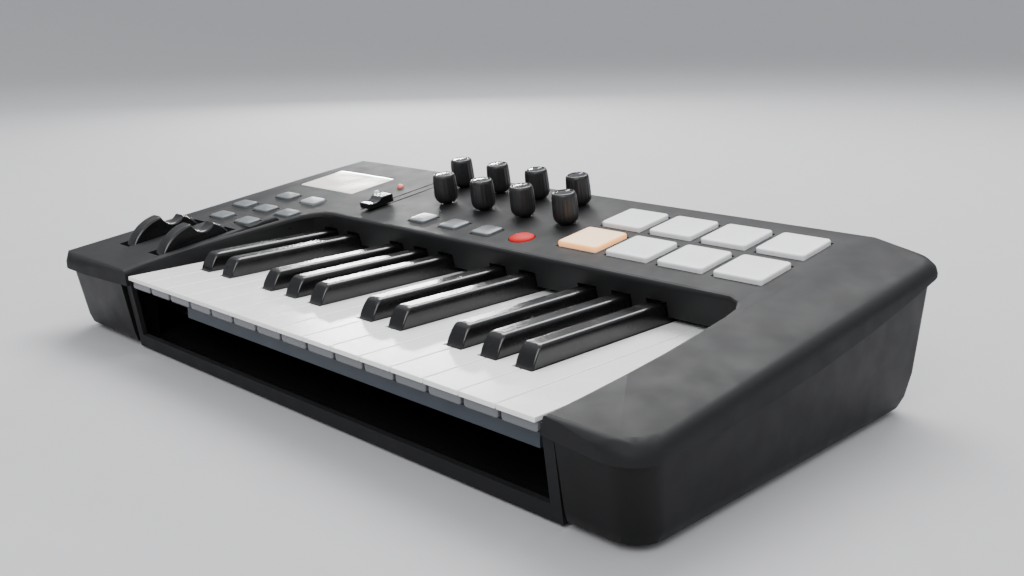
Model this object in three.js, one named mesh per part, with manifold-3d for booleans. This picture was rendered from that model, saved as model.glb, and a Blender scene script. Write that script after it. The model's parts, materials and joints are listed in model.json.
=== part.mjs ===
// 25-key controller keyboard: two case shells, key bed, keys, wheels, pads, knobs, fader and buttons.
// Millimetres, +Z up. Working datum: left end of the lowest white key, front edge and top face of
// the white keys. Everything is moved to the centre of its bounding box and onto the floor at the end.
import * as THREE from "three";
import { ConvexGeometry } from "three/addons/geometries/ConvexGeometry.js";
import { mergeVertices } from "three/addons/utils/BufferGeometryUtils.js";
import Module from "manifold-3d";

// ---- driving dimensions ----
const WHITE_PITCH = 23.5;
const WHITE_COUNT = 15;
const KEY_GAP = 0.35;
const KEY_SLAB = 2.6;
const LIP_DROP = 7.6;
const LIP_SETBACK = 2.3;
const KEY_TAIL_Y = 158;
const BLACK_CENTRES = [22.9, 47.3, 93.2, 117.3, 141];
const OCTAVE = 7 * WHITE_PITCH;
const BLACK_WIDTH = 12.1;
const BLACK_FRONT_Y = 41.2;
const BLACK_TOP_FRONT_Y = 47.3;
const BLACK_HEIGHT = 10.8;

const CASE_LEFT = -92;
const CASE_RIGHT = 409.5;
const CASE_FRONT = -4.3;
const CASE_BACK = 249;
const CORNERS = { fl: 15, fr: 17, br: 12, bl: 32 };
const WALL = 2.6;
const FRONT_WALL = 7.2;
const RIM_ROUND = 5.5;

const DECK_SLOPE = 0.14;
const DECK_TILT = Math.atan(DECK_SLOPE);
const DECK_REF_Y = 137.7;
const DECK_REF_Z = 22.3;
const SIDE_FALL = 0.22;
const SPLIT_FRONT = -6.9;
const SPLIT_SWEEP = 0.0005;

const FLOOR_Z = -48;
const FOOT_HEIGHT = 2;
const FOOT_RADIUS = 8;

const OPENING_LEFT = -1.5;
const OPENING_RIGHT = 354.2;
const OPENING_BACK_AT_KEYS = 142.6;
const OPENING_BACK = 137.7;
// side edges of the opening in the deck, from the front to the back
const SHOULDER_LEFT = [
  [-2.5, -12], [-5.5, 18], [-5.7, 34], [-4, 52], [-1, 72], [2, 92], [5.2, 112], [8.4, 125], [13.5, 132.5],
];
const SHOULDER_RIGHT = [
  [355.5, -12], [359, 20], [361, 45], [362.3, 70], [362.6, 95], [362.2, 119], [361, 129], [357, 135.5],
];
// roll of the opening's upper edge: how far outside the shoulder line, how far below the deck
const SHOULDER_ROLL = [[3, 0], [1.6, 0.35], [0.6, 1.1], [0, 2.6]];

const FRAME_POST = 6.4;
const FRAME_THICK = 3;
const FRAME_LEAN = Math.atan(6.1 / 42.2);
const FRAME_RAIL = 8.4;
const FRAME_BOTTOM = -48.6;

const PAD = { x: 219.2, y: 157.1, size: 29.8, pitchX: 36, pitchY: 39.1, rise: 2.9, depth: 5 };
const KNOB = { pitch: 36.5, frontX: 87.1, backX: 68.6, frontY: 191, backY: 223.9, lift: 0.8, height: 20.2 };
const BUTTON = { w: 17.2, d: 12, rise: 2.2, depth: 5 };
const FUNCTION_BUTTONS = [
  [-50.2, 99.1], [-18.2, 99.1],
  [-59.1, 123.2], [-32, 123.2], [-4.9, 123.2],
  [-43.8, 150.4], [-12.5, 150.4],
];
const TRANSPORT = { w: 15.8, d: 14.8, y: 157.5, xs: [100.9, 131.1, 160.9] };
const RECORD = { x: 190.2, y: 158, r: 7.9, rise: 2.6 };
const DISPLAY = { x0: -65.8, x1: -0.8, y0: 176.1, y1: 217, pocket: 1.8 };
const LEDS = [[17.3, 184.9], [22.6, 203]];
const FADER = {
  x: 43.9, y0: 158, y1: 220, slit: 1.4, spread: 4.3,
  capX: 44.7, capY: 163.8, capW: 11, capL: 21,
};
const WHEEL = {
  r: 30, w: 11.6, y: 58.3, z: -6, slotW: 13.8,
  xs: { mod_wheel: -57.6, pitch_wheel: -17.4 },
};
const AXLE_RADIUS = 3;
const AXLE_STUB = 2.2;
const HOLE_CLEARANCE = 0.4;

const wasm = await Module();
wasm.setup();

// ---- helpers ----
function solid(geometry) {
  const bare = new THREE.BufferGeometry();
  bare.setAttribute("position", geometry.getAttribute("position").clone());
  if (geometry.index) {
    bare.setIndex(geometry.index.clone());
  }
  const merged = mergeVertices(bare, 1e-4);
  return new wasm.Manifold(new wasm.Mesh({
    numProp: 3,
    vertProperties: new Float32Array(merged.getAttribute("position").array),
    triVerts: new Uint32Array(merged.index.array),
  }));
}

function shell(manifold) {
  const mesh = manifold.getMesh();
  const geometry = new THREE.BufferGeometry();
  geometry.setAttribute("position", new THREE.BufferAttribute(new Float32Array(mesh.vertProperties), 3));
  geometry.setIndex(new THREE.BufferAttribute(new Uint32Array(mesh.triVerts), 1));
  return geometry;
}

function cuboid(x0, x1, y0, y1, z0, z1) {
  const box = new THREE.BoxGeometry(x1 - x0, y1 - y0, z1 - z0);
  return box.translate((x0 + x1) / 2, (y0 + y1) / 2, (z0 + z1) / 2);
}

function block(x0, x1, y0, y1, z0, z1) {
  return solid(cuboid(x0, x1, y0, y1, z0, z1));
}

function cylinderX(r, x0, x1, y, z, segments) {
  const rod = new THREE.CylinderGeometry(r, r, x1 - x0, segments);
  return solid(rod.rotateZ(Math.PI / 2).translate((x0 + x1) / 2, y, z));
}

function deckZ(y) {
  return DECK_REF_Z + DECK_SLOPE * (y - DECK_REF_Y);
}

// crease lines where the deck starts to fall towards the side rims
function creaseLeft(y) {
  return -87.5 + 0.055 * y;
}

function creaseRight(y) {
  return 396 - 0.1 * y;
}

function topZ(x, y) {
  return deckZ(y) - SIDE_FALL * Math.max(0, x - creaseRight(y), creaseLeft(y) - x);
}

// lower edge of the upper shell's rim, sweeping up to the back
function splitZ(y) {
  return SPLIT_FRONT + SPLIT_SWEEP * Math.max(0, y) ** 2;
}

// places a geometry whose local z = 0 is the deck surface
function onDeck(geometry, x, y) {
  return geometry.rotateX(DECK_TILT).translate(x, y, deckZ(y));
}

function outline(inset) {
  const { l, r, f, b } = typeof inset === "number" ? { l: inset, r: inset, f: inset, b: inset } : inset;
  const x0 = CASE_LEFT + l;
  const x1 = CASE_RIGHT - r;
  const y0 = CASE_FRONT + f;
  const y1 = CASE_BACK - b;
  const shrink = Math.min(l, f) * 0.35;
  const corners = [
    [x0, y0, CORNERS.fl - shrink, 1, 1, Math.PI],
    [x1, y0, CORNERS.fr - shrink, -1, 1, 1.5 * Math.PI],
    [x1, y1, CORNERS.br - shrink, -1, -1, 0],
    [x0, y1, CORNERS.bl - shrink, 1, -1, 0.5 * Math.PI],
  ];
  const points = [];
  for (const [x, y, radius, sx, sy, start] of corners) {
    for (let i = 0; i <= 6; i += 1) {
      const a = start + (i / 6) * (Math.PI / 2);
      points.push([x + sx * radius + radius * Math.cos(a), y + sy * radius + radius * Math.sin(a)]);
    }
  }
  for (const y of [50, 90, 130, 170, 205]) {
    points.push([x0, y], [x1, y]);
  }
  return points;
}

function ring(inset, height) {
  return outline(inset).map(([x, y]) => new THREE.Vector3(x, y, height(x, y)));
}

function creaseEnds(inset, drop) {
  const points = [];
  for (const y of [CASE_FRONT + inset, CASE_BACK - inset]) {
    for (const x of [creaseLeft(y), creaseRight(y)]) {
      points.push(new THREE.Vector3(x, y, deckZ(y) - drop));
    }
  }
  return points;
}

// rounded slab of the given plan, local z = 0 at the deck
function roundedSlab(w, d, z0, z1, radius, bevel) {
  const shape = new THREE.Shape();
  const x = w / 2 - bevel;
  const y = d / 2 - bevel;
  const r = radius - bevel;
  shape.absarc(x - r, y - r, r, 0, Math.PI / 2);
  shape.absarc(-x + r, y - r, r, Math.PI / 2, Math.PI);
  shape.absarc(-x + r, -y + r, r, Math.PI, 1.5 * Math.PI);
  shape.absarc(x - r, -y + r, r, 1.5 * Math.PI, 2 * Math.PI);
  const slab = new THREE.ExtrudeGeometry(shape, {
    depth: z1 - z0 - 2 * bevel,
    bevelThickness: bevel,
    bevelSize: bevel,
    bevelSegments: 1,
    curveSegments: 2,
  });
  return slab.translate(0, 0, z0 + bevel);
}

function deckHole(w, d, x, y) {
  return solid(onDeck(new THREE.BoxGeometry(w, d, 16), x, y));
}

function roundDeckHole(r, x, y, segments) {
  return solid(onDeck(new THREE.CylinderGeometry(r, r, 16, segments).rotateX(Math.PI / 2), x, y));
}

// ---- key positions ----
const whiteKeys = Array.from({ length: WHITE_COUNT }, (_, i) => i * WHITE_PITCH);
const blackKeys = [0, 1].flatMap((octave) => BLACK_CENTRES.map((x) => x + octave * OCTAVE));

// ---- upper shell ----
function shoulderRing(grow, height) {
  const left = SHOULDER_LEFT.map(([x, y]) => [x - grow, y]);
  const right = SHOULDER_RIGHT.map(([x, y]) => [x + grow, y]);
  const back = OPENING_BACK + grow;
  const edge = [...left, ...right, [19 - grow / 2, back - 1.4], [27, back], [351, back]];
  return edge.map(([x, y]) => new THREE.Vector3(x, y, height(y)));
}

function openingPrism(grow) {
  const wall = shoulderRing(grow, (y) => deckZ(y) - SHOULDER_ROLL.at(-1)[1]);
  for (const z of [-9, 0.4]) {
    for (const x of [OPENING_LEFT - grow, OPENING_RIGHT + grow]) {
      const inward = x < 0 ? 1 : -1;
      const r = (x < 0 ? 18 : 8) + grow;
      const back = OPENING_BACK_AT_KEYS + grow;
      wall.push(new THREE.Vector3(x, -12, z));
      for (let i = 0; i <= 4; i += 1) {
        const a = (i / 4) * (Math.PI / 2);
        wall.push(new THREE.Vector3(x + inward * r * (1 - Math.cos(a)), back - r * (1 - Math.sin(a)), z));
      }
    }
  }
  let body = solid(new ConvexGeometry(wall));
  SHOULDER_ROLL.forEach(([out, drop], i) => {
    const next = SHOULDER_ROLL[i - 1];
    const top = next
      ? shoulderRing(grow + next[0], (y) => deckZ(y) - next[1])
      : shoulderRing(grow + out, () => 70);
    const low = shoulderRing(grow + out, (y) => deckZ(y) - drop - 0.01);
    body = body.add(solid(new ConvexGeometry([...low, ...top])));
  });
  return body;
}

function frontFrame() {
  const left = OPENING_LEFT - FRAME_POST;
  const right = OPENING_RIGHT + FRAME_POST;
  const reach = (-2 - FRAME_BOTTOM) / Math.cos(FRAME_LEAN);
  const shape = new THREE.Shape();
  shape.moveTo(left, 0);
  shape.lineTo(right, 0);
  shape.lineTo(right, reach);
  shape.lineTo(OPENING_RIGHT, reach);
  shape.lineTo(OPENING_RIGHT, FRAME_RAIL);
  shape.lineTo(OPENING_LEFT, FRAME_RAIL);
  shape.lineTo(OPENING_LEFT, reach);
  shape.lineTo(left, reach);
  const plate = new THREE.ExtrudeGeometry(shape, { depth: FRAME_THICK, bevelEnabled: false });
  plate.rotateX(Math.PI / 2 + FRAME_LEAN);
  const footY = 8 + FRAME_THICK;
  return solid(plate.translate(0, footY, FRAME_BOTTOM + FRAME_THICK * Math.sin(FRAME_LEAN)));
}

// convex envelope of the upper shell; lower extends it below the rim's edge
function topEnvelope(lower) {
  const rounds = [0, 30, 60, 90].map((deg) => {
    const a = (deg * Math.PI) / 180;
    return [RIM_ROUND * (1 - Math.cos(a)), RIM_ROUND * (1 - Math.sin(a))];
  });
  const points = ring(0, (x, y) => splitZ(y) - lower);
  for (const [inset, drop] of rounds) {
    points.push(...ring(inset, (x, y) => topZ(x, y) - drop));
  }
  points.push(...creaseEnds(RIM_ROUND, 0));
  return solid(new ConvexGeometry(points));
}

// space inside the upper shell, shrunk by extra
function topCavity(extra) {
  const side = WALL + extra;
  const front = FRONT_WALL + extra;
  const wall = { l: side, r: side, f: front, b: side };
  const roof = { l: side + 3, r: side + 3, f: front + 3, b: side + 3 };
  const points = ring(wall, (x, y) => splitZ(y) - 6);
  points.push(...ring(wall, (x, y) => topZ(x, y) - side - 3));
  points.push(...ring(roof, (x, y) => topZ(x, y) - side));
  return solid(new ConvexGeometry(points));
}

function makeTopCase() {
  const outer = topEnvelope(0);
  let body = outer.subtract(topCavity(0));

  // walls round the key opening, notched where the black keys pass under the deck
  const well = openingPrism(WALL).intersect(outer);
  body = body.add(well).subtract(openingPrism(0));
  body = body.subtract(block(-0.8, OPENING_RIGHT - 0.6, 120, 160, -20, 0.9));
  for (const x of blackKeys) {
    const half = BLACK_WIDTH / 2 + 0.7;
    body = body.subtract(block(x - half, x + half, 125, 160, -20, BLACK_HEIGHT + 1));
  }

  // cheek fronts sweep back towards the keys
  const sweeps = [[OPENING_LEFT, -52], [OPENING_RIGHT, 391]];
  for (const [inner, outerX] of sweeps) {
    const points = [-12, 10].flatMap((z) => [
      new THREE.Vector3(inner, 0, z),
      new THREE.Vector3(inner, -9, z),
      new THREE.Vector3(outerX, CASE_FRONT - 0.05, z),
      new THREE.Vector3(outerX, -9, z),
    ]);
    body = body.subtract(solid(new ConvexGeometry(points)));
  }
  body = body.add(frontFrame());

  // pads, buttons, knobs, display, lamps, fader and wheels
  for (let row = 0; row < 2; row += 1) {
    for (let col = 0; col < 4; col += 1) {
      const x = PAD.x + PAD.size / 2 + col * PAD.pitchX;
      const y = PAD.y + PAD.size / 2 + row * PAD.pitchY;
      body = body.subtract(deckHole(PAD.size + 2 * HOLE_CLEARANCE, PAD.size + 2 * HOLE_CLEARANCE, x, y));
    }
  }
  for (const [x, y] of FUNCTION_BUTTONS) {
    body = body.subtract(deckHole(BUTTON.w + 2 * HOLE_CLEARANCE, BUTTON.d + 2 * HOLE_CLEARANCE, x, y));
  }
  for (const x of TRANSPORT.xs) {
    const w = TRANSPORT.w + 2 * HOLE_CLEARANCE;
    body = body.subtract(deckHole(w, TRANSPORT.d + 2 * HOLE_CLEARANCE, x, TRANSPORT.y));
  }
  body = body.subtract(roundDeckHole(RECORD.r + HOLE_CLEARANCE, RECORD.x, RECORD.y, 24));
  for (let i = 0; i < 4; i += 1) {
    body = body.subtract(roundDeckHole(3.6, KNOB.frontX + i * KNOB.pitch, KNOB.frontY, 10));
    body = body.subtract(roundDeckHole(3.6, KNOB.backX + i * KNOB.pitch, KNOB.backY, 10));
  }
  for (const [x, y] of LEDS) {
    body = body.subtract(roundDeckHole(2.6, x, y, 10));
  }
  const displayY = (DISPLAY.y0 + DISPLAY.y1) / 2;
  const pocket = new THREE.BoxGeometry(
    DISPLAY.x1 - DISPLAY.x0, (DISPLAY.y1 - DISPLAY.y0) / Math.cos(DECK_TILT), 2 * DISPLAY.pocket);
  body = body.subtract(solid(onDeck(pocket, (DISPLAY.x0 + DISPLAY.x1) / 2, displayY)));
  for (const side of [-1, 1]) {
    const length = (FADER.y1 - FADER.y0 + 10) / Math.cos(DECK_TILT);
    const x = FADER.x + side * FADER.spread;
    body = body.subtract(deckHole(FADER.slit, length, x, (FADER.y0 + FADER.y1) / 2));
  }
  for (const x of Object.values(WHEEL.xs)) {
    body = body.subtract(deckHole(WHEEL.slotW, 58.4, x, WHEEL.y - 2.5));
  }
  // board pillars under the deck
  for (const [x, y] of [[-30, 228], [213, 228], [212.5, 167], [14, 167]]) {
    body = body.add(solid(onDeck(cuboid(-3, 3, -3, 3, -14, -1.5), x, y)));
  }
  return body;
}

// ---- lower shell ----
function makeBottomCase() {
  const skin = (extra) => {
    const at = (s, f, b) => ({ l: s + extra, r: s + extra, f: f + extra, b: b + extra });
    const floor = FLOOR_Z + extra;
    const points = ring(at(3, 3.4, 3), (x, y) => splitZ(y) + (extra ? 9 : 4));
    points.push(...ring(at(3.3, 4.6, 4.5), (x, y) => splitZ(y) - 3));
    points.push(...ring(at(4.6, 8.6, 12), () => floor + 20));
    points.push(...ring(at(5.6, 10, 17), () => floor + 8));
    points.push(...ring(at(7.4, 11.8, 21), () => floor + 2.4));
    points.push(...ring(at(11, 15.5, 25), () => floor));
    return solid(new ConvexGeometry(points));
  };
  let body = skin(0).subtract(skin(WALL));

  // front slot between the upper shell's posts
  const left = OPENING_LEFT - FRAME_POST - 2.6;
  const right = OPENING_RIGHT + FRAME_POST + 2.6;
  body = body.subtract(block(left, right, -10, 24, FLOOR_Z + 0.4, 20));
  body = body.subtract(block(left, right, -10, 11.5, FLOOR_Z - 1, 20));
  const inside = skin(0);
  const cheeks = block(left - WALL, left, -6, 23, -47, -5).add(block(right, right + WALL, -6, 23, -47, -5));
  body = body.add(cheeks.intersect(inside));

  // stands inside the upper shell's rim
  body = body.subtract(topEnvelope(0.4).subtract(topCavity(0.3)));

  // key bed pillars and feet
  for (const [x, y] of [[24, 92], [328, 92], [24, 150], [328, 150]]) {
    body = body.add(block(x - 5, x + 5, y - 5, y + 5, FLOOR_Z + 1, -24.4));
  }
  for (const [x, y] of [[-40, 40], [368, 40], [-40, 185], [368, 185]]) {
    const foot = new THREE.CylinderGeometry(FOOT_RADIUS, FOOT_RADIUS, FOOT_HEIGHT + 1, 16);
    foot.rotateX(Math.PI / 2).translate(x, y, FLOOR_Z + 0.5 - FOOT_HEIGHT / 2);
    body = body.add(solid(foot));
  }
  return body;
}

// ---- key bed with its front rail and the wheel forks ----
function makeKeyChassis() {
  let body = block(1, 351, 30, 166, -24, -21.5);
  body = body.add(block(49.4, 343.6, 29, 31.5, -24, -17.8));
  body = body.add(block(49.4, 343.6, 12, 30, -20, -17.8));
  body = body.add(block(49.4, 343.6, 12, 14.5, -20, -12.6));
  body = body.add(block(1, 351, 149.5, 152.5, -22, -9.5));
  body = body.add(block(-67, 2, 48, 69, -40, -37.5)).add(block(1, 3, 48, 69, -40, -21.5));
  for (const x of Object.values(WHEEL.xs)) {
    for (const side of [-1, 1]) {
      const c = x + side * 6.9;
      body = body.add(block(c - 0.7, c + 0.7, WHEEL.y - 7, WHEEL.y + 7, -38.5, WHEEL.z + 5.5));
      body = body.subtract(cylinderX(AXLE_RADIUS + 0.3, c - 2, c + 2, WHEEL.y, WHEEL.z, 16));
    }
  }
  return body;
}

// ---- moving pieces ----
function makeWhiteKey(index) {
  const x0 = whiteKeys[index] + KEY_GAP;
  const x1 = whiteKeys[index] + WHITE_PITCH - KEY_GAP;
  const edge = BLACK_WIDTH / 2 + 0.7;
  let tailLeft = x0;
  let tailRight = x1;
  for (const x of blackKeys) {
    if (x + edge > x0 && x < x0 + 8) {
      tailLeft = x + edge;
    }
    if (x - edge < x1 && x > x1 - 8) {
      tailRight = x - edge;
    }
  }
  const middle = (tailLeft + tailRight) / 2;
  const nose = new ConvexGeometry([
    [0.6, 0], [0, -0.6], [0.4, -KEY_SLAB],
  ].flatMap(([y, z]) => [new THREE.Vector3(x0, y, z), new THREE.Vector3(x1, y, z)]).concat([
    new THREE.Vector3(x0, 41, 0), new THREE.Vector3(x1, 41, 0),
    new THREE.Vector3(x0, 41, -KEY_SLAB), new THREE.Vector3(x1, 41, -KEY_SLAB),
  ]));
  let body = solid(nose).add(block(tailLeft, tailRight, 40, KEY_TAIL_Y, -KEY_SLAB, 0));
  body = body.add(block(x0 + 0.2, x1 - 0.2, LIP_SETBACK, LIP_SETBACK + 2, -LIP_DROP, -1.5));
  return body.add(block(middle - 2, middle + 2, 20, KEY_TAIL_Y, -9, -1.5));
}

function makeBlackKey(x) {
  const layers = [
    [-6, BLACK_WIDTH / 2, BLACK_FRONT_Y],
    [0, BLACK_WIDTH / 2, BLACK_FRONT_Y],
    [BLACK_HEIGHT - 1.1, BLACK_WIDTH / 2 - 0.6, BLACK_TOP_FRONT_Y - 0.9],
    [BLACK_HEIGHT, BLACK_WIDTH / 2 - 1.7, BLACK_TOP_FRONT_Y + 0.6],
  ];
  const points = layers.flatMap(([z, half, front]) => [
    new THREE.Vector3(x - half, front, z),
    new THREE.Vector3(x + half, front, z),
    new THREE.Vector3(x - half, KEY_TAIL_Y, z),
    new THREE.Vector3(x + half, KEY_TAIL_Y, z),
  ]);
  return solid(new ConvexGeometry(points));
}

function makeWheel(x) {
  const half = WHEEL.w / 2;
  const profile = [
    [0.01, -half - AXLE_STUB], [AXLE_RADIUS, -half - AXLE_STUB], [AXLE_RADIUS, -half], [WHEEL.r - 1, -half],
    [WHEEL.r, -half + 1], [WHEEL.r, half - 1], [WHEEL.r - 1, half], [AXLE_RADIUS, half],
    [AXLE_RADIUS, half + AXLE_STUB], [0.01, half + AXLE_STUB], [0.01, -half - AXLE_STUB],
  ].map(([r, a]) => new THREE.Vector2(r, a));
  const disc = new THREE.LatheGeometry(profile, 30).rotateZ(-Math.PI / 2).translate(x, WHEEL.y, WHEEL.z);
  const core = cylinderX(1, x - half - AXLE_STUB, x + half + AXLE_STUB, WHEEL.y, WHEEL.z, 6);
  const notch = cylinderX(9.3, x - half - 1, x + half + 1, WHEEL.y + 3.2, WHEEL.z + WHEEL.r + 2.9, 14);
  return solid(disc).add(core).subtract(notch);
}

function makeKnob(x, y) {
  const profile = [
    [0, -8], [2.9, -8], [2.9, KNOB.lift], [5.4, KNOB.lift], [7.2, 2.6], [8, 5.4], [7.6, 18.2],
    [6.9, KNOB.height], [5.8, KNOB.height], [5.4, KNOB.height - 0.6], [0, KNOB.height - 0.6],
  ].map(([r, h]) => new THREE.Vector2(r, h));
  return solid(onDeck(new THREE.LatheGeometry(profile, 16).rotateX(Math.PI / 2), x, y));
}

function makeRecord() {
  const profile = [
    [0, -BUTTON.depth], [RECORD.r, -BUTTON.depth], [RECORD.r, 0.6], [RECORD.r - 0.9, 1.6],
    [RECORD.r - 3, 2.3], [0, RECORD.rise],
  ].map(([r, h]) => new THREE.Vector2(r, h));
  return solid(onDeck(new THREE.LatheGeometry(profile, 24).rotateX(Math.PI / 2), RECORD.x, RECORD.y));
}

function makeFaderCap() {
  const shape = new THREE.Shape();
  const half = FADER.capL / 2;
  shape.moveTo(-half, 1.2);
  shape.lineTo(half, 1.2);
  shape.lineTo(half, 6.4);
  shape.lineTo(half - 1, 7);
  shape.lineTo(0.5, 7);
  shape.lineTo(-1, 5.4);
  shape.lineTo(-5, 4.6);
  shape.lineTo(-half, 5.2);
  const cap = new THREE.ExtrudeGeometry(shape, { depth: FADER.capW, bevelEnabled: false });
  cap.applyMatrix4(new THREE.Matrix4().makeBasis(
    new THREE.Vector3(0, 1, 0), new THREE.Vector3(0, 0, 1), new THREE.Vector3(1, 0, 0)));
  cap.translate(-FADER.capW / 2, 0, 0);
  let body = solid(onDeck(cap, FADER.capX, FADER.capY));
  for (const side of [-1, 1]) {
    const x = side * FADER.spread;
    body = body.add(solid(onDeck(cuboid(x - 0.4, x + 0.4, -4, 4, -7, 2), FADER.x, FADER.capY)));
  }
  return body;
}

function makeButton(w, d, x, y) {
  const slab = roundedSlab(w, d, -BUTTON.depth, BUTTON.rise, 2.4, 0.7);
  return solid(onDeck(slab, x, y));
}

function makePad(row, col) {
  const x = PAD.x + PAD.size / 2 + col * PAD.pitchX;
  const y = PAD.y + PAD.size / 2 + row * PAD.pitchY;
  return solid(onDeck(roundedSlab(PAD.size, PAD.size, -PAD.depth, PAD.rise, 2.6, 0.9), x, y));
}

function makeDisplayWindow() {
  const w = DISPLAY.x1 - DISPLAY.x0 - 0.8;
  const d = (DISPLAY.y1 - DISPLAY.y0) / Math.cos(DECK_TILT) - 0.8;
  const pane = new THREE.BoxGeometry(w, d, 1.5).translate(0, 0, -0.7);
  return solid(onDeck(pane, (DISPLAY.x0 + DISPLAY.x1) / 2, (DISPLAY.y0 + DISPLAY.y1) / 2));
}

function makeMainBoard() {
  return solid(onDeck(cuboid(-170, 200, -35, 38, -15.9, -14.3), 150, 197));
}

// ---- assembly ----
const LOOKS = {
  case: { color: 0x2c2d2f, roughness: 0.5, metalness: 0 },
  tub: { color: 0x0e0e0f, roughness: 0.65, metalness: 0 },
  bed: { color: 0x303c48, roughness: 0.6, metalness: 0 },
  ivory: { color: 0xf2f2f0, roughness: 0.18, metalness: 0 },
  ebony: { color: 0x0a0a0b, roughness: 0.12, metalness: 0 },
  rubber: { color: 0x141414, roughness: 0.7, metalness: 0 },
  button: { color: 0x707577, roughness: 0.5, metalness: 0 },
  pad: { color: 0xb9bcbe, roughness: 0.55, metalness: 0 },
  lamp_pad: { color: 0xf0b070, roughness: 0.5, metalness: 0 },
  record: { color: 0xa81810, roughness: 0.35, metalness: 0 },
  window: { color: 0xc8c4b8, roughness: 0.08, metalness: 0 },
  board: { color: 0x14502c, roughness: 0.5, metalness: 0.1 },
};

const pieces = [
  ["bottom_case", "tub", makeBottomCase()],
  ["top_case", "case", makeTopCase()],
  ["key_chassis", "bed", makeKeyChassis()],
  ["display_window", "window", makeDisplayWindow()],
  ["main_board", "board", makeMainBoard()],
  ["fader_cap", "ebony", makeFaderCap()],
  ["record_button", "record", makeRecord()],
];
for (let i = 0; i < WHITE_COUNT; i += 1) {
  pieces.push([`white_key_${i + 1}`, "ivory", makeWhiteKey(i)]);
}
blackKeys.forEach((x, i) => {
  pieces.push([`black_key_${i + 1}`, "ebony", makeBlackKey(x)]);
});
for (const [name, x] of Object.entries(WHEEL.xs)) {
  pieces.push([name, "ebony", makeWheel(x)]);
}
FUNCTION_BUTTONS.forEach(([x, y], i) => {
  pieces.push([`function_button_${i + 1}`, "button", makeButton(BUTTON.w, BUTTON.d, x, y)]);
});
TRANSPORT.xs.forEach((x, i) => {
  pieces.push([`transport_button_${i + 1}`, "button", makeButton(TRANSPORT.w, TRANSPORT.d, x, TRANSPORT.y)]);
});
for (let i = 0; i < 4; i += 1) {
  pieces.push([`knob_${i + 1}`, "rubber", makeKnob(KNOB.frontX + i * KNOB.pitch, KNOB.frontY)]);
}
for (let i = 0; i < 4; i += 1) {
  pieces.push([`knob_${i + 5}`, "rubber", makeKnob(KNOB.backX + i * KNOB.pitch, KNOB.backY)]);
}
for (let row = 0; row < 2; row += 1) {
  for (let col = 0; col < 4; col += 1) {
    const look = row + col === 0 ? "lamp_pad" : "pad";
    pieces.push([`pad_${row * 4 + col + 1}`, look, makePad(row, col)]);
  }
}

const group = new THREE.Group();
for (const [name, look, body] of pieces) {
  const mesh = new THREE.Mesh(shell(body), new THREE.MeshStandardMaterial(LOOKS[look]));
  mesh.name = name;
  group.add(mesh);
}

const bounds = new THREE.Box3().setFromObject(group);
const centre = bounds.getCenter(new THREE.Vector3());
for (const mesh of group.children) {
  mesh.geometry.translate(-centre.x, -centre.y, -bounds.min.z);
}

export default group;
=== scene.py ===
"""Looks of the 25-key controller keyboard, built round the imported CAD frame. Metres, +Z up."""

import json
import math

import bmesh
import bpy
from mathutils import Matrix, Vector


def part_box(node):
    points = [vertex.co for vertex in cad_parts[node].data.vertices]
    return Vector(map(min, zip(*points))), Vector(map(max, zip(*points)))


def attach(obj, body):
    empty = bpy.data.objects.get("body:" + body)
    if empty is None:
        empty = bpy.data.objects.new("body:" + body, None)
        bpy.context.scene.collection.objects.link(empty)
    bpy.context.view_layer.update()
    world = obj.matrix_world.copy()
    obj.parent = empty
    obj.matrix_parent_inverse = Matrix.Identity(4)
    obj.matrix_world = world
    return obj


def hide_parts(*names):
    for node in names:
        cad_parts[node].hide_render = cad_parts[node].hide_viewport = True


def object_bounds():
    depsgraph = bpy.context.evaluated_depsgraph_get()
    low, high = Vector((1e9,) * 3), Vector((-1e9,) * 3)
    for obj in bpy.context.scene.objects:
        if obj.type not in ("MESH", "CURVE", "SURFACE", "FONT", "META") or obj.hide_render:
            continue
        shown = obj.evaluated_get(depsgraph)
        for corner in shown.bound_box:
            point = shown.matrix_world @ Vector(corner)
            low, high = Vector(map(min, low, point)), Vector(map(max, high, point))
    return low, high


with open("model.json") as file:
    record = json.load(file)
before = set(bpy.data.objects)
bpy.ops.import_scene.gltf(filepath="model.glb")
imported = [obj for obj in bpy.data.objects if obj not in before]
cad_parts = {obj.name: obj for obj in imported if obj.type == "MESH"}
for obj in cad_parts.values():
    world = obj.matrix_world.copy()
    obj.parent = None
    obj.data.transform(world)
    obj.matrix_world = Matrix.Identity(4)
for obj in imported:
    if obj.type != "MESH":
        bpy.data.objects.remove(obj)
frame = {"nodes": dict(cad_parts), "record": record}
CAD_BOX = [list(map(float, corner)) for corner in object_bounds()]
JOINTS = {joint["name"]: joint for joint in frame["record"]["behaviour"]["joints"]}
MM = 0.001


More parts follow.
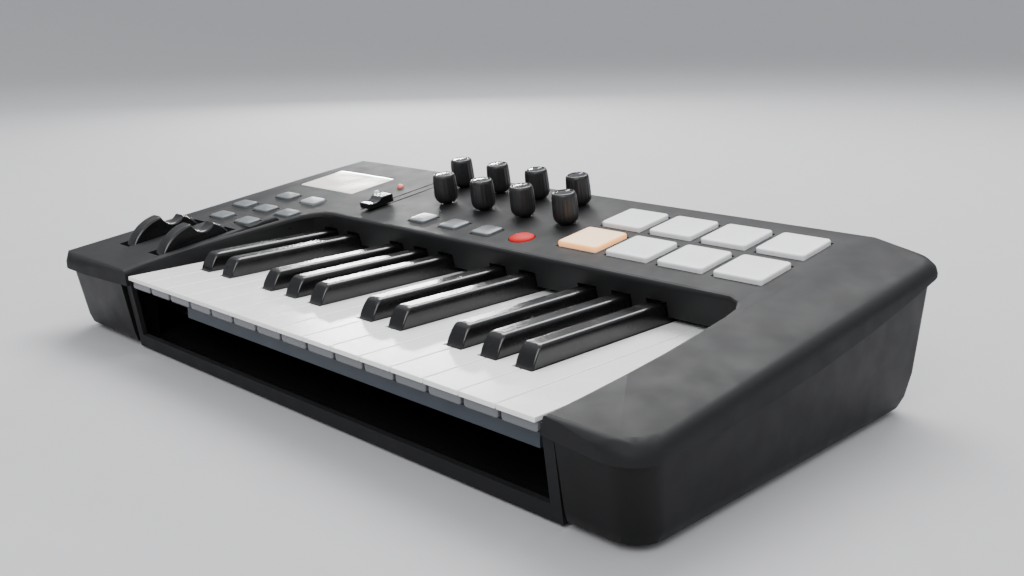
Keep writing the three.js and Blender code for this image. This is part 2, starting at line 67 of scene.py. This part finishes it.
# ---- materials ----
def surface(name, color, rough, grain=1400, bump=0.06, coat=0.0, vary=0.12, wear=0.0, **extra):
    """Moulded material: fine grain in the bump, slow patches in colour and roughness, rubbed high spots."""
    mat = bpy.data.materials.new(name)
    mat.use_nodes = True
    nodes, links = mat.node_tree.nodes, mat.node_tree.links
    shader = nodes["Principled BSDF"]
    coords = nodes.new("ShaderNodeTexCoord")

    def noise(scale, detail):
        node = nodes.new("ShaderNodeTexNoise")
        node.inputs["Scale"].default_value = scale
        node.inputs["Detail"].default_value = detail
        links.new(coords.outputs["Object"], node.inputs["Vector"])
        return node.outputs["Fac"]

    def remap(socket, low, high, start=0.3, end=0.7):
        node = nodes.new("ShaderNodeMapRange")
        node.inputs["From Min"].default_value = start
        node.inputs["From Max"].default_value = end
        node.inputs["To Min"].default_value = low
        node.inputs["To Max"].default_value = high
        links.new(socket, node.inputs["Value"])
        return node.outputs["Result"]

    patches = noise(28, 4)
    fine = noise(grain, 2)
    tint = nodes.new("ShaderNodeMix")
    tint.data_type = "RGBA"
    tint.inputs["A"].default_value = [c * (1 - vary) for c in color] + [1]
    tint.inputs["B"].default_value = [min(1, c * (1 + vary)) for c in color] + [1]
    links.new(remap(patches, 0, 1), tint.inputs["Factor"])
    color_out = tint.outputs["Result"]
    if wear:
        rub = nodes.new("ShaderNodeMix")
        rub.data_type = "RGBA"
        rub.inputs["B"].default_value = [min(1, c * 1.6 + 0.02) for c in color] + [1]
        links.new(color_out, rub.inputs["A"])
        links.new(remap(noise(120, 8), 0, wear, 0.56, 0.74), rub.inputs["Factor"])
        color_out = rub.outputs["Result"]
    links.new(color_out, shader.inputs["Base Color"])
    links.new(remap(noise(60, 5), rough - 0.05, rough + 0.06), shader.inputs["Roughness"])
    relief = nodes.new("ShaderNodeBump")
    relief.inputs["Strength"].default_value = bump
    relief.inputs["Distance"].default_value = 0.0002
    links.new(fine, relief.inputs["Height"])
    links.new(relief.outputs["Normal"], shader.inputs["Normal"])
    shader.inputs["Coat Weight"].default_value = coat
    shader.inputs["Coat Roughness"].default_value = 0.05
    for key, value in extra.items():
        shader.inputs[key.replace("_", " ")].default_value = value
    return mat


CASE = surface("case_charcoal", (0.011, 0.0112, 0.012), 0.56, 1700, 0.07,
               vary=0.03, wear=0.01, Specular_IOR_Level=0.2)
TUB = surface("tub_black", (0.004, 0.004, 0.0043), 0.46, 1300, 0.08,
              vary=0.05, wear=0.01, Specular_IOR_Level=0.24)
BED = surface("key_bed_blue_grey", (0.035, 0.046, 0.062), 0.45, 900, 0.08, vary=0.06)
IVORY = surface("white_key_gloss", (0.9, 0.9, 0.89), 0.24, 300, 0.006, 0.2, 0.01, Coat_Roughness=0.2)
# Painted shade: the front lips of the white keys get a dark grey colour that stands in for the shadow they
# sit in
SHADED_LIP = surface("white_key_lip_painted_shade", (0.12, 0.125, 0.136), 0.25, 300, 0.01, 0.3, 0.03)
EBONY = surface("black_gloss", (0.004, 0.004, 0.0045), 0.24, 250, 0.001, 0.3, 0.1, Coat_Roughness=0.18)
RUBBER = surface("knob_rubber", (0.012, 0.012, 0.013), 0.34, 1500, 0.08, vary=0.1, wear=0.03)
CAP_GLOSS = surface("knob_cap_gloss", (0.012, 0.012, 0.013), 0.12, 400, 0.01, 0.8)
POINTER = surface("pointer_grey", (0.6, 0.61, 0.62), 0.35, 900, 0.05)
BUTTON = surface("button_grey", (0.13, 0.142, 0.148), 0.3, 1300, 0.07, vary=0.06, wear=0.05)
BUTTON_PALE = surface("button_pale", (0.33, 0.35, 0.365), 0.3, 1300, 0.07, vary=0.06)
PAD = surface("pad_silicone", (0.8, 0.81, 0.82), 0.4, 1100, 0.08, vary=0.02,
              Subsurface_Weight=0.1, Subsurface_Scale=0.003)
PAD_LIT = surface("pad_lit_flank", (0.95, 0.5, 0.2), 0.42, 1100, 0.08, vary=0.04,
                  Emission_Color=(1.0, 0.38, 0.08, 1), Emission_Strength=1.1)
PAD_LIT_TOP = surface("pad_lit_top", (0.95, 0.7, 0.46), 0.4, 1100, 0.08, vary=0.03,
                      Emission_Color=(1.0, 0.6, 0.28, 1), Emission_Strength=0.7)
RECORD_RED = surface("record_red", (0.55, 0.006, 0.004), 0.5, 1200, 0.05, Specular_IOR_Level=0.15)
GLASS_FACE = surface("display_face", (0.8, 0.76, 0.69), 0.1, 200, 0.003, 0.3, 0.02,
                     Emission_Color=(1.0, 0.9, 0.76, 1), Emission_Strength=0.5)
LAMP_CLEAR = surface("lamp_clear", (0.5, 0.51, 0.51), 0.12, 300, 0.01, 0.8)
LAMP_RED = surface("lamp_red", (0.8, 0.16, 0.1), 0.12, 300, 0.01, 0.8,
                   Emission_Color=(1.0, 0.2, 0.12, 1), Emission_Strength=0.35)
FOOT = surface("foot_rubber", (0.02, 0.02, 0.02), 0.75, 900, 0.3)
BOARD = surface("board_green", (0.02, 0.11, 0.045), 0.4, 600, 0.1)
STEEL = surface("plated_steel", (0.55, 0.55, 0.56), 0.28, 900, 0.05, Metallic=1.0)


# ---- mesh tools ----
SHARP_ANGLE = math.radians(40)


def in_mm(points):
    """Pairs written in millimetres, turned into metres."""
    return [(a * MM, b * MM) for a, b in points]


def plan(w, d, r, inset=0.0, steps=7):
    """Points of a rounded rectangle, anticlockwise, shrunk by inset."""
    x, y, r = w / 2 - inset, d / 2 - inset, max(r - inset, 0.05 * MM)
    points = []
    for k, (sx, sy) in enumerate(((1, 1), (-1, 1), (-1, -1), (1, -1))):
        for i in range(steps + 1):
            a = math.pi / 2 * (k + i / steps)
            points.append((sx * (x - r) + r * math.cos(a), sy * (y - r) + r * math.sin(a)))
    return points


def loft(rings):
    """Closed shell through rings of equal length; the first and last ring are capped."""
    verts = [Vector(p) for ring in rings for p in ring]
    n = len(rings[0])
    faces = [tuple(reversed(range(n)))]
    for k in range(len(rings) - 1):
        for i in range(n):
            j = (i + 1) % n
            faces.append((k * n + i, k * n + j, (k + 1) * n + j, (k + 1) * n + i))
    last = (len(rings) - 1) * n
    faces.append(tuple(last + i for i in range(n)))
    return verts, faces


def slab(w, d, r, profile, steps=7):
    """Rounded-rectangle body; profile lists (inset, height) from the bottom up."""
    return loft([[(x, y, z) for x, y in plan(w, d, r, inset, steps)] for inset, z in profile])


def turned(profile, n=64, radius=None):
    """Lathe body about local Z; profile lists (radius, height); radius(r, angle, z) may add relief."""
    rings = []
    for r, z in profile:
        ring = []
        for i in range(n):
            a = 2 * math.pi * i / n
            rr = radius(r, a, z) if radius else r
            ring.append((rr * math.cos(a), rr * math.sin(a), z))
        rings.append(ring)
    return loft(rings)


def prism(outline, z0, z1):
    return loft([[(x, y, z0) for x, y in outline], [(x, y, z1) for x, y in outline]])


def cuboid(lo, hi):
    return prism([(lo[0], lo[1]), (hi[0], lo[1]), (hi[0], hi[1]), (lo[0], hi[1])], lo[2], hi[2])


def piece(name, shells, mats, body, place=None, bevel=0.0, node=None, segments=3):
    """Joins closed shells into one piece; each is (verts, faces) or (verts, faces, material index)."""
    mesh = bpy.data.meshes.new(name)
    bm = bmesh.new()
    for shell in shells:
        verts = [bm.verts.new(v) for v in shell[0]]
        for face in shell[1]:
            made = bm.faces.new([verts[i] for i in face])
            made.material_index = shell[2] if len(shell) > 2 else 0
    bmesh.ops.recalc_face_normals(bm, faces=bm.faces)
    bm.to_mesh(mesh)
    bm.free()
    if place is not None:
        mesh.transform(place)
    for polygon in mesh.polygons:
        polygon.use_smooth = True
    mesh.set_sharp_from_angle(angle=SHARP_ANGLE)
    obj = bpy.data.objects.new(name, mesh)
    bpy.context.scene.collection.objects.link(obj)
    for mat in mats:
        mesh.materials.append(mat)
    soften(obj, bevel, segments)
    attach(obj, body)
    if node:
        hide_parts(node)


def soften(obj, bevel, segments=3):
    if bevel:
        mod = obj.modifiers.new("edge", "BEVEL")
        mod.width = bevel
        mod.segments = segments
        mod.limit_method = "ANGLE"
        mod.angle_limit = SHARP_ANGLE
        mod.use_clamp_overlap = True
        mod.harden_normals = True
    normals = obj.modifiers.new("normals", "WEIGHTED_NORMAL")
    normals.keep_sharp = True


# ---- deck frame, from the knob axes ----
DECK_UP = Vector(JOINTS["knob_1_turn"]["axis"]).normalized()
DECK_POINT = Vector(JOINTS["knob_1_turn"]["pos_m"])
TILT = Matrix.Rotation(math.atan2(-DECK_UP.y, DECK_UP.z), 4, "X")


def on_deck(x, y):
    """Placement with local z = 0 on the deck above the plan point x, y."""
    z = DECK_POINT.z - ((y - DECK_POINT.y) * DECK_UP.y) / DECK_UP.z
    return Matrix.Translation((x, y, z)) @ TILT


def slab_place(node, middle):
    """Deck placement of a slab node whose middle lies at the given height over the deck."""
    lo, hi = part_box(node)
    centre = (lo + hi) / 2 - DECK_UP * middle
    return Matrix.Translation(centre) @ TILT


def slab_size(node, height):
    lo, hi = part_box(node)
    depth = (hi.y - lo.y - height * abs(DECK_UP.y)) / DECK_UP.z
    return hi.x - lo.x, depth


# ---- case shells, key bed and board: CAD nodes with finished edges ----
def finish_node(node, mat, bevel):
    obj = frame["nodes"][node]
    obj.data.materials.clear()
    obj.data.materials.append(mat)
    obj.data.polygons.foreach_set("use_smooth", [True] * len(obj.data.polygons))
    weld = obj.modifiers.new("weld", "WELD")
    weld.merge_threshold = 0.00001
    soften(obj, bevel, 2)
    obj.modifiers["normals"].weight = 95


finish_node("top_case", CASE, 0.5 * MM)
finish_node("bottom_case", TUB, 0.6 * MM)
finish_node("key_chassis", BED, 0.4 * MM)
finish_node("main_board", BOARD, 0.2 * MM)


# ---- keys ----
WHITES = [f"white_key_{i + 1}" for i in range(15)]
BLACKS = [f"black_key_{i + 1}" for i in range(10)]
black_boxes = [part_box(n) for n in BLACKS]


def white_key(name):
    lo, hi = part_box(name)
    x0, x1, y0, y1, top = lo.x, hi.x, lo.y, hi.y, hi.z
    slab_low = top - 2.6 * MM
    gap = 0.7 * MM
    left = right = None
    for blo, bhi in black_boxes:
        if bhi.x + gap > x0 and blo.x < x0:
            left = bhi.x + gap
        if blo.x - gap < x1 and bhi.x > x1:
            right = blo.x - gap
    waist = black_boxes[0][0].y - 1.4 * MM
    outline = [(x0, y0), (x1, y0)]
    outline += [(x1, waist), (right, waist), (right, y1)] if right else [(x1, y1)]
    outline += [(left, y1), (left, waist), (x0, waist)] if left else [(x0, y1)]
    tail = ((left or x0) + (right or x1)) / 2
    w = x1 - x0 - 0.9 * MM
    lip_top, lip_low = top - 1.6 * MM, lo.z + 1.0 * MM
    lip = []
    for dy, shrink in ((2.4, 0.5), (2.7, 0.15), (3.2, 0), (4.6, 0)):
        ring = plan(w, lip_top - lip_low, 1.8 * MM, shrink * MM, 5)
        lip.append([((x0 + x1) / 2 + x, y0 + dy * MM, (lip_top + lip_low) / 2 + z) for x, z in ring])
    shells = [
        prism(outline, slab_low, top),
        # the lip shell takes slot 1, the dark grey painted shade
        (*loft(lip), 1),
        cuboid((tail - 2 * MM, y0 + 20 * MM, lo.z), (tail + 2 * MM, y1, slab_low + 0.4 * MM)),
    ]
    piece(name + "_cover", shells, [IVORY, SHADED_LIP], name, bevel=0.55 * MM, node=name, segments=4)


def black_key(name):
    lo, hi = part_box(name)
    x, half = (lo.x + hi.x) / 2, (hi.x - lo.x) / 2
    white_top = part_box(WHITES[0])[1].z
    y0, y1, top = lo.y, hi.y, hi.z
    rise = top - white_top
    rings = []
    for z, side, front, corner in (
        (lo.z, 0, 0, 0.8), (white_top - 1 * MM, 0, 0, 0.8), (white_top + 0.3 * rise, 0.15, 1.5, 0.9),
        (white_top + 0.6 * rise, 0.3, 3.3, 1.1), (top - 2.0 * MM, 0.5, 4.9, 1.3),
        (top - 1.1 * MM, 0.85, 5.6, 1.5),
        (top - 0.45 * MM, 1.45, 6.4, 1.7), (top - 0.1 * MM, 2.2, 7.4, 1.9), (top, 3.2, 8.8, 2.1),
    ):
        w, a, r = half - side * MM, y0 + front * MM, corner * MM
        ring = [(x - w, y1, z)]
        ring += [(x - w + r - r * math.cos(t), a + r - r * math.sin(t), z)
                 for t in (math.pi / 2 * i / 5 for i in range(6))]
        ring += [(x + w - r + r * math.sin(t), a + r - r * math.cos(t), z)
                 for t in (math.pi / 2 * i / 5 for i in range(6))]
        ring += [(x + w, y1, z)]
        rings.append(ring)
    piece(name + "_cover", [loft(rings)], [EBONY], name, bevel=0, node=name)


for key in WHITES:
    white_key(key)
for key in BLACKS:
    black_key(key)


# ---- pitch and mod wheels ----
WHEEL_HALF = 5.8 * MM
WHEEL_STEPS = 360
AXLE_RADIUS = 3 * MM
AXLE_REACH = 2.3 * MM
NOTCH_RADIUS = 9.3 * MM
NOTCH_SOFT = 2.2 * MM


def soft_min(a, b, soft):
    """Smaller of two radii, with the corner between them rounded over the width soft."""
    gap = abs(a - b)
    if gap > soft:
        return min(a, b)
    return (a + b) / 2 - (soft - gap) ** 2 / (4 * soft) - gap / 2


def axle_stub(side):
    """Short axle on one face of a wheel, with a tapered tip."""
    turns = [2 * math.pi * i / 24 for i in range(24)]
    rings = []
    for t, taper in ((0, 1), (0.85, 1), (1, 0.85)):
        x = side * (WHEEL_HALF - 0.2 * MM) + side * t * AXLE_REACH
        r = AXLE_RADIUS * taper
        rings.append([(x, r * math.cos(a), r * math.sin(a)) for a in turns])
    return loft(rings)


def wheel(name):
    lo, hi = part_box(name)
    centre = Vector(JOINTS[name + "_turn"]["pos_m"])
    radius = (hi.y - lo.y) / 2
    notch_z = radius + 2.9 * MM
    notch_y = 3.2 * MM
    rings = []
    for x, inset in ((-1, 1.6), (-0.93, 0.75), (-0.82, 0.25), (-0.66, 0), (0.66, 0), (0.82, 0.25),
                     (0.93, 0.75), (1, 1.6)):
        ring = []
        for i in range(WHEEL_STEPS):
            a = 2 * math.pi * i / WHEEL_STEPS
            y, z = math.sin(a), math.cos(a)
            # distance to the notch circle along this direction
            b = y * notch_y + z * notch_z
            inside = b * b - (notch_y ** 2 + notch_z ** 2 - NOTCH_RADIUS ** 2)
            r = radius
            if z > 0.7 and inside > 0:
                r = soft_min(r, b - math.sqrt(inside), NOTCH_SOFT)
            r -= inset * MM
            ring.append((x * WHEEL_HALF, r * y, r * z))
        rings.append(ring)
    piece(name + "_disc", [loft(rings), axle_stub(-1), axle_stub(1)], [EBONY],
          name, Matrix.Translation(centre), node=name)


wheel("pitch_wheel")
wheel("mod_wheel")


# ---- pads, buttons and the record button ----
def dome(depth, rise, crown, radius):
    """Profile of a button: square flank, rolled edge and a slightly crowned top."""
    steps = [(0.3, -depth), (0, -depth + 0.3)]
    for i in range(6):
        a = math.pi / 2 * i / 5
        steps.append((radius * (1 - math.cos(a)), rise - crown - radius * (1 - math.sin(a))))
    for k in (0.15, 0.4, 0.8):
        steps.append((radius + 5 * k, rise - crown + crown * (1 - (1 - k) ** 2)))
    return in_mm(steps)


for i in range(8):
    node = f"pad_{i + 1}"
    w, d = slab_size(node, 7.9 * MM)
    skin = [slab(w, d, 2.8 * MM, dome(5, 2.9, 0.35, 1.1))]
    if i == 0:
        flank = [(1.2, 0.2), (-0.04, 0.25), (-0.04, 1.7), (0.3, 2.45), (1.1, 2.86), (1.6, 2.6)]
        face = [(0, 1.4), (0, 2.86), (0.5, 2.96), (3, 3.0)]
        skin.append((*slab(w, d, 2.8 * MM, in_mm(flank)), 1))
        skin.append((*slab(w - 2.4 * MM, d - 2.4 * MM, 2.4 * MM, in_mm(face)), 2))
    piece(node + "_skin", skin, [PAD, PAD_LIT, PAD_LIT_TOP] if i == 0 else [PAD],
          node, slab_place(node, -1.05 * MM), node=node)

for kind, count in (("function_button", 7), ("transport_button", 3)):
    for i in range(count):
        node = f"{kind}_{i + 1}"
        w, d = slab_size(node, 7.2 * MM)
        pale = kind == "function_button" and i == 6
        body = slab(w, d, 2.6 * MM, dome(5, 2.2, 0.5, 0.8))
        piece(node + "_cap", [body], [BUTTON_PALE if pale else BUTTON],
              node, slab_place(node, -1.4 * MM), node=node)

w, d = slab_size("record_button", 7.6 * MM)
record_profile = [(7.5, -5), (7.9, -4.6), (7.9, 0.2), (7.75, 0.7), (7.3, 1.2), (6.4, 1.7),
                  (5, 2.15), (3, 2.45), (1, 2.6)]
piece("record_button_cap", [turned(in_mm(record_profile), 56)], [RECORD_RED],
      "record_button", slab_place("record_button", -1.2 * MM), node="record_button")


# ---- knobs ----
RIBS = 18


def ribbed(r, a, z):
    """Shallow grip flutes on the flank, fading out at the rim and the foot."""
    fade = max(0.0, min(1.0, (z / MM - 3.2) / 1.5)) * max(0.0, min(1.0, (18.2 - z / MM) / 1.2))
    return r - 0.28 * MM * fade * (0.5 + 0.5 * math.cos(RIBS * a)) ** 3


knob_profile = [(2.9, -8), (2.9, 1.0), (4.6, 0.8), (5.9, 1.3), (6.8, 2.1), (7.5, 3.3), (7.9, 4.8), (8.0, 6.4),
                (7.98, 9), (7.85, 12.5), (7.7, 16), (7.6, 17.6), (7.45, 18.6), (7.2, 19.3), (6.8, 19.85),
                (6.3, 20.1), (6.0, 20.1), (5.75, 19.85), (5.65, 19.4)]
cap_profile = [(5.63, 18.7), (5.63, 19.5), (5.35, 19.75), (3, 19.85), (0.6, 19.87)]
for i in range(8):
    node = f"knob_{i + 1}"
    where = JOINTS[node + "_turn"]["pos_m"]
    place = on_deck(where[0], where[1])
    grip = turned(in_mm(knob_profile), 108, ribbed)
    piece(node + "_grip", [grip], [RUBBER], node, place, node=node)
    cap = turned(in_mm(cap_profile), 48)
    pointer = cuboid((-0.5 * MM, 2.2 * MM, 19.6 * MM), (0.5 * MM, 5.3 * MM, 20.1 * MM))
    piece(node + "_cap", [cap, (*pointer, 1)], [CAP_GLOSS, POINTER], node, place)


# ---- fader cap ----
lo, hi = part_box("fader_cap")
cap_y = lo.y + 10.5 * MM * DECK_UP.z - 5.2 * MM * DECK_UP.y
half_w = (hi.x - lo.x) / 2
side = [(-10.5, 1.2), (10.5, 1.2), (10.5, 6.2), (10.1, 6.8), (9.2, 7.0), (1.2, 7.0), (0.4, 6.8), (-0.3, 6.1),
        (-1.2, 5.3), (-2.6, 4.8), (-5, 4.6), (-7.8, 4.75), (-10, 5.15), (-10.5, 4.9)]
rings = [[(x, y * MM, z * MM) for y, z in side] for x in (-half_w, half_w)]
prongs = [cuboid((s * 4.3 * MM - 1.2 * MM, -4 * MM, -7 * MM), (s * 4.3 * MM - 0.4 * MM, 4 * MM, 1.6 * MM))
          for s in (-1, 1)]
piece("fader_cap_grip", [loft(rings)] + prongs, [EBONY], "fader_cap", on_deck((lo.x + hi.x) / 2, cap_y),
      bevel=0.45 * MM, node="fader_cap")


# ---- display window ----
w, d = slab_size("display_window", 1.5 * MM)
window = [(0.3, -1.4), (0, -1.1), (0, -0.35), (0.1, -0.08), (0.4, 0.05), (2, 0.06)]
piece("display_glass", [slab(w, d, 1.2 * MM, in_mm(window))], [GLASS_FACE],
      "case", slab_place("display_window", -0.7 * MM), node="display_window")


# ---- lamps in the deck, feet, screws and rear sockets ----
HALF_KEY_GAP = 0.35


def key_point(x, y):
    """Plan point given from the low end and front edge of the white keys."""
    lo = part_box("white_key_1")[0]
    return lo.x + (x - HALF_KEY_GAP) * MM, lo.y + y * MM


for name, x, y, mat in (("status_lamp", 17.3, 184.9, LAMP_CLEAR), ("activity_lamp", 22.6, 203, LAMP_RED)):
    px, py = key_point(x, y)
    lens = [(2.3, -5), (2.45, -0.4), (2.55, 0.3), (2.4, 1.0), (2.0, 1.6), (1.3, 2.1), (0.5, 2.3)]
    piece(name + "_lens", [turned(in_mm(lens), 40)], [mat], "case", on_deck(px, py))

low = CAD_BOX[0][2]
for i, (x, y) in enumerate(((-40, 40), (368, 40), (-40, 185), (368, 185))):
    px, py = key_point(x, y)
    foot = [(7.6, -0.12), (8.2, 0.1), (8.5, 0.6), (8.6, 2.3)]
    piece(f"rubber_foot_{i + 1}", [turned(in_mm(foot), 48)], [FOOT], "case",
          Matrix.Translation((px, py, low)))

for i, (x, y) in enumerate(((0, 60), (162, 60), (330, 60), (-30, 150), (162, 185), (355, 150))):
    px, py = key_point(x, y)
    head = [(2.2, 1.5), (2.9, 1.6), (3.2, 1.85), (3.3, 2.2)]
    cross = cuboid((-1.6 * MM, -0.35 * MM, 1.42 * MM), (1.6 * MM, 0.35 * MM, 1.7 * MM))
    piece(f"case_screw_{i + 1}", [turned(in_mm(head), 32), (*cross, 1)],
          [STEEL, FOOT], "case", Matrix.Translation((px, py, low)))

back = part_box("top_case")[1].y
# local z points out of the back wall, local x to the left as seen from behind
REAR = Matrix(((-1, 0, 0, 0), (0, 0, 1, 0), (0, 1, 0, 0), (0, 0, 0, 1)))
rear_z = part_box("top_case")[1].z - 13 * MM


def rear(x):
    return Matrix.Translation((x, back, rear_z)) @ REAR


def socket(name, x, shells, mats):
    piece(name, shells, mats, "case", rear(x), bevel=0.15 * MM)


ring_nut = turned(in_mm([(6, -1.5), (6, 0.5), (5.6, 0.9), (3.6, 0.9), (3.3, 0.6), (3.3, -1.2)]), 40)
socket("sustain_jack", 60 * MM, [ring_nut], [STEEL])
socket("expression_jack", 84 * MM, [ring_nut], [STEEL])
usb_profile = [(0, -1.2), (0, 0.5), (0.6, 0.7), (1.6, 0.7), (1.9, 0.2), (1.9, -0.9)]
usb_rim = slab(13 * MM, 12 * MM, 1 * MM, in_mm(usb_profile))
tongue = cuboid((-2.6 * MM, -1.6 * MM, -0.9 * MM), (2.6 * MM, 1.6 * MM, 0.5 * MM))
socket("usb_socket", -60 * MM, [usb_rim, (*tongue, 1)], [STEEL, FOOT])
switch_profile = [(0, -1), (0, 0.4), (0.5, 0.6), (1.4, 0.6), (1.5, -0.6)]
switch_rim = slab(15 * MM, 9 * MM, 1 * MM, in_mm(switch_profile))
rocker_profile = [(0, -0.8), (0, 0.5), (0.5, 1.0), (2, 0.8)]
rocker = slab(11.6 * MM, 5.6 * MM, 0.8 * MM, in_mm(rocker_profile))
socket("power_switch", -100 * MM, [switch_rim, (*rocker, 1)], [TUB, FOOT])


# ---- floor, light and camera ----
FLOOR_FLAT = 2.8
FLOOR_ROLL = 2.2
WALL_TOP = 3.2
FLOOR_DROP = 0.00015


def stage_floor():
    """Pale sweep: flat round the object, rolling up into a low wall far outside it."""
    profile = [(0.01, 0), (0.9, 0), (1.8, 0), (FLOOR_FLAT, 0)]
    for i in range(1, 17):
        a = math.pi / 2 * i / 16
        profile.append((FLOOR_FLAT + FLOOR_ROLL * math.sin(a), FLOOR_ROLL * (1 - math.cos(a))))
    profile.append((FLOOR_FLAT + FLOOR_ROLL, WALL_TOP))
    mesh = bpy.data.meshes.new("floor")
    bm = bmesh.new()
    rings = [[bm.verts.new((r * math.cos(t), r * math.sin(t), low - FLOOR_DROP + z))
              for t in (2 * math.pi * k / 96 for k in range(96))] for r, z in profile]
    bm.faces.new(rings[0])
    for inner, outer in zip(rings, rings[1:]):
        for k in range(96):
            bm.faces.new((inner[k], outer[k], outer[(k + 1) % 96], inner[(k + 1) % 96]))
    bmesh.ops.recalc_face_normals(bm, faces=bm.faces)
    bm.to_mesh(mesh)
    bm.free()
    mesh.polygons.foreach_set("use_smooth", [True] * len(mesh.polygons))
    floor = bpy.data.objects.new("floor", mesh)
    bpy.context.scene.collection.objects.link(floor)
    mesh.materials.append(surface("floor_paper", (0.46, 0.46, 0.47), 0.8, 500, 0.01, vary=0.01))


def area(name, at, target, size, power):
    light = bpy.data.lights.new(name, "AREA")
    light.shape = "RECTANGLE"
    light.size, light.size_y = size
    light.energy = power
    obj = bpy.data.objects.new(name, light)
    bpy.context.scene.collection.objects.link(obj)
    obj.location = at
    obj.rotation_euler = (Vector(target) - Vector(at)).to_track_quat("-Z", "Y").to_euler()
    obj.visible_camera = False


stage_floor()
area("streak_strip", (-1.3, 1.02, 0.48), (-0.05, 0, 0.06), (0.4, 0.07), 8)
area("top_softbox", (-0.5, 0.9, 1.5), (0, 0, 0.05), (1.5, 1.0), 50)
area("front_softbox", (0.8, -1.4, 1.3), (0, 0, 0.03), (1.4, 1.0), 24)
area("right_fill", (1.7, 0.3, 0.9), (0.1, 0, 0.03), (1.0, 1.0), 4)
world = bpy.data.worlds.new("studio")
world.use_nodes = True
world.node_tree.nodes["Background"].inputs["Color"].default_value = (0.8, 0.82, 0.85, 1)
world.node_tree.nodes["Background"].inputs["Strength"].default_value = 1.25
bpy.context.scene.world = world

# three-quarter view from the front right, a little above the deck
CAMERA_LENS = 39.113
CAMERA_AT = (0.48894, -0.42682, 0.21779)
CAMERA_FORWARD = (-0.68620, 0.68026, -0.25766)
CAMERA_RIGHT = (0.70721, 0.70679, -0.01743)

camera = bpy.data.cameras.new("camera")
camera.sensor_width = 36
camera.lens = CAMERA_LENS
view = bpy.data.objects.new("camera", camera)
bpy.context.scene.collection.objects.link(view)
forward = Vector(CAMERA_FORWARD).normalized()
right = Vector(CAMERA_RIGHT)
right = (right - forward * right.dot(forward)).normalized()
up = right.cross(forward)
view.matrix_world = Matrix.Translation(CAMERA_AT) @ Matrix((right, up, -forward)).transposed().to_4x4()
bpy.context.scene.camera = view
